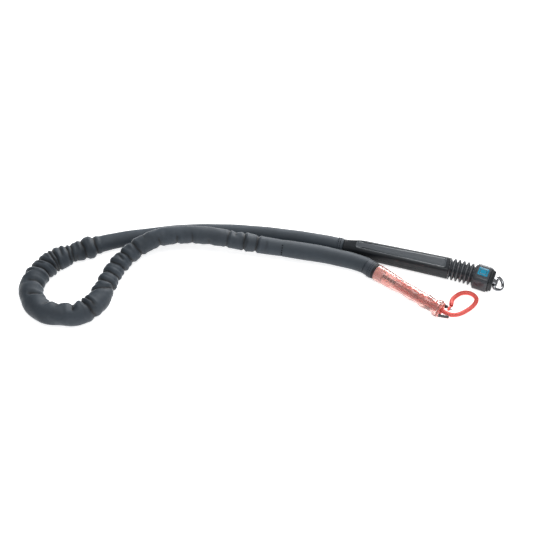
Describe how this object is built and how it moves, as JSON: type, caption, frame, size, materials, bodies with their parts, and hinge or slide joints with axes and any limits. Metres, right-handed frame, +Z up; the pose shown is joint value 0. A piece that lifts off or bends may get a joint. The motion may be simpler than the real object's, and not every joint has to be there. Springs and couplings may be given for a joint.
{
  "type": "sleeved towing lead with handle",
  "caption": "Fabric-sleeved stretch lead with a tapered moulded handle, a bellows neck, a swivelling steel ring and a translucent slide-release grip with a rope loop.",
  "frame": {"origin": "centre of the head block's flat underside, on the plane that the part lies on", "axes": "+X along the head's swivel axis towards the ring, +Z up, +Y across"},
  "size_m": [0.546, 0.2802, 0.0372],
  "materials": {
    "shell_black": "satin moulded black",
    "panel_grey": "fine-textured slate grey inlay",
    "screw_steel": "plain zinc",
    "neck_rubber": "dull black",
    "teal_tile": "plain teal",
    "bright_steel": "polished stainless",
    "bush_bronze": "sintered bronze",
    "clear_red": "translucent red, softly glossy",
    "deep_red": "deep red",
    "rope_red": "red braided cover",
    "sleeve_fabric": "dark slate grey stretch fabric",
    "webbing_black": "black webbing"
  },
  "bodies": {
    "lead": {"handle_shell_upper": "shell_black", "handle_shell_lower": "shell_black", "top_panel": "panel_grey", "shell_screw_1": "screw_steel", "shell_screw_2": "screw_steel", "shell_screw_3": "screw_steel", "shell_screw_4": "screw_steel", "sleeve_spigot": "shell_black", "rear_hem": "sleeve_fabric", "bungee_tail_rear": "webbing_black", "bungee_clevis": "screw_steel", "body_anchor_pin": "screw_steel", "bellows_neck": "neck_rubber", "load_sling": "webbing_black", "sleeve_rear": "sleeve_fabric", "sleeve_loop": "sleeve_fabric", "sleeve_lean": "sleeve_fabric", "sleeve_front": "sleeve_fabric", "front_cuff": "sleeve_fabric", "front_ferrule": "shell_black", "bungee_tail_front": "webbing_black", "release_rod": "shell_black", "rope_crimp": "shell_black", "return_spring": "screw_steel", "rope_loop": "rope_red", "loop_eye": "rope_red"},
    "head": {"head_block": "shell_black", "head_end_cap": "shell_black", "badge_tile": "teal_tile", "head_anchor_pin": "screw_steel", "swivel_bush": "bush_bronze", "thrust_washer": "screw_steel"},
    "swivel": {"swivel_eye": "bright_steel", "stem_nut": "screw_steel"},
    "ring": {"tow_ring": "bright_steel"},
    "release": {"grip_sleeve": "clear_red", "liner_tube": "deep_red", "mouth_ring": "deep_red", "pin_boss": "shell_black", "trigger_pin": "screw_steel", "toothed_tongue": "shell_black"}
  },
  "joints": [
    {"name": "neck_bend", "type": "hinge", "parent": "lead", "child": "head", "pos_m": [-0.02549, -0.00054, 0.0118], "axis": [0, 0, 1], "range_deg": [-12, 20], "stiffness_Nm_per_rad": 0.15, "deforming": ["bellows_neck", "load_sling"]},
    {"name": "swivel_spin", "type": "hinge", "parent": "head", "child": "swivel", "pos_m": [0, 0, 0.0118], "axis": [1, 0, 0], "continuous": true},
    {"name": "ring_swing", "type": "hinge", "parent": "swivel", "child": "ring", "pos_m": [0.01715, 0, 0.0118], "axis": [0, 1, 0], "range_deg": [-118, 62]},
    {"name": "release_slide", "type": "slide", "parent": "lead", "child": "release", "axis": [-0.969, 0.247, 0], "range_m": [0, 0.012], "stiffness_N_per_m": 600, "springref_m": -0.004, "deforming": ["front_cuff", "return_spring"]}
  ]
}
